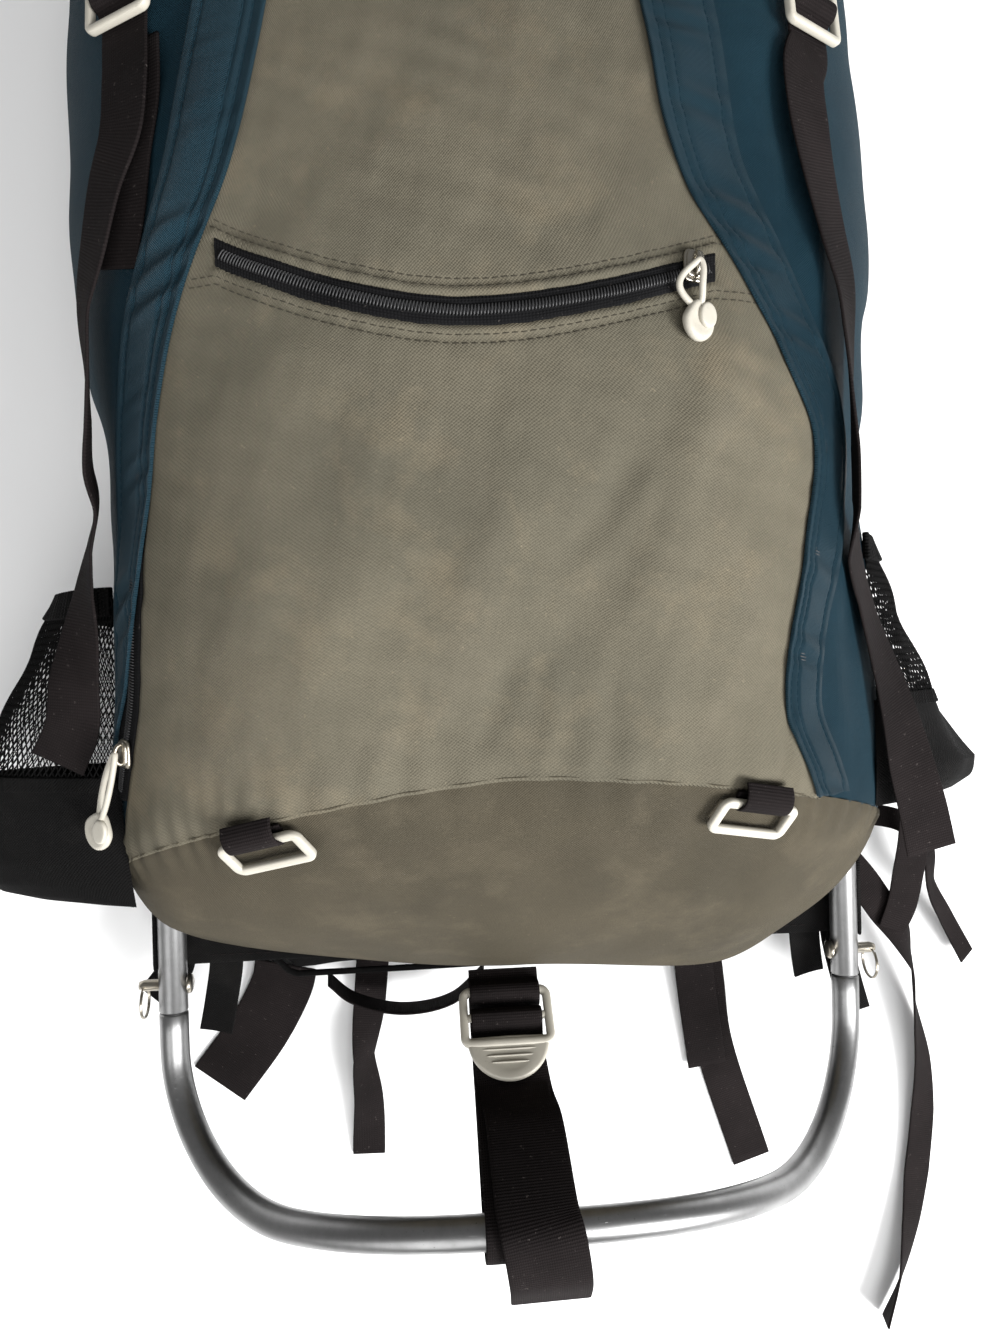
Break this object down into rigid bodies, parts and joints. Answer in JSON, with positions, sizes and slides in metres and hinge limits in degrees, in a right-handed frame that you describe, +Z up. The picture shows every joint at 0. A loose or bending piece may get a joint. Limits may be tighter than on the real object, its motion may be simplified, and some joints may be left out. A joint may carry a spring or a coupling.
{
  "type": "external frame backpack",
  "caption": "External frame backpack lying on its back: soft sage, olive and blue bag on a bowed aluminium tube frame, mesh side pockets, black webbing straps lying loose.",
  "frame": {"origin": "middle of the footprint's bounding box, on the floor", "axes": "+X to the right across the pack as seen from above, +Y from the foot hoop to the head end, +Z up from the floor; the pack lies on its back, harness down"},
  "size_m": [0.591, 0.9654, 0.2534],
  "materials": {
    "aluminium": "drawn tube, satin, lightly scuffed",
    "steel": "plated steel, worn bright",
    "sage": "coated twill nylon, faded",
    "olive": "coated twill nylon, rubbed and dusty",
    "teal": "coated nylon with a slight sheen",
    "black_cloth": "heavy nylon over foam, dusty",
    "mesh": "open knitted mesh",
    "webbing": "woven webbing, slightly frayed",
    "plastic": "moulded, warm light grey",
    "zip": "woven zip tape with moulded coil"
  },
  "bodies": {
    "root": {"frame_upper": "aluminium", "frame_lower": "aluminium", "clevis_pin_left": "steel", "split_ring_left": "steel", "clevis_pin_right": "steel", "split_ring_right": "steel", "bag_body": "teal", "top_lid": "teal", "front_panel": "sage", "bottom_panel": "olive", "storm_flap_left": "teal", "side_zip_left": "zip", "storm_flap_right": "teal", "side_zip_right": "zip", "pocket_zip": "zip", "pocket_zip_slider": "steel", "pocket_zip_pull": "plastic", "side_zip_slider": "steel", "side_zip_pull": "plastic", "side_pocket_left": "mesh", "pocket_foot_left": "black_cloth", "ladder_lock_left": "plastic", "side_strap_left": "webbing", "lid_tab_left": "webbing", "lash_ring_left": "plastic", "lash_webbing_left": "webbing", "side_pocket_right": "mesh", "pocket_foot_right": "black_cloth", "ladder_lock_right": "plastic", "side_strap_right": "webbing", "lid_tab_right": "webbing", "lash_ring_right": "plastic", "lash_webbing_right": "webbing", "side_anchor_left": "webbing", "centre_lock": "plastic", "centre_anchor": "webbing", "centre_strap": "webbing", "belt_tail_left": "webbing", "belt_tail_middle": "webbing", "belt_tail_right": "webbing", "belt_tail_right_upper": "webbing", "long_tail_right": "webbing", "thin_tail_right": "webbing", "belt_strap_right": "webbing", "slack_band": "webbing", "corner_tab_left_inner": "black_cloth", "corner_tab_left_outer": "black_cloth", "corner_tab_right_inner": "black_cloth", "corner_tab_right_outer": "black_cloth", "base_band": "black_cloth", "back_band": "mesh", "lumbar_pad": "black_cloth", "belt_buckle": "plastic", "belt_wing_left": "black_cloth", "shoulder_strap_left": "black_cloth", "shoulder_webbing_left": "webbing", "belt_wing_right": "black_cloth", "shoulder_strap_right": "black_cloth", "shoulder_webbing_right": "webbing"}
  },
  "joints": []
}
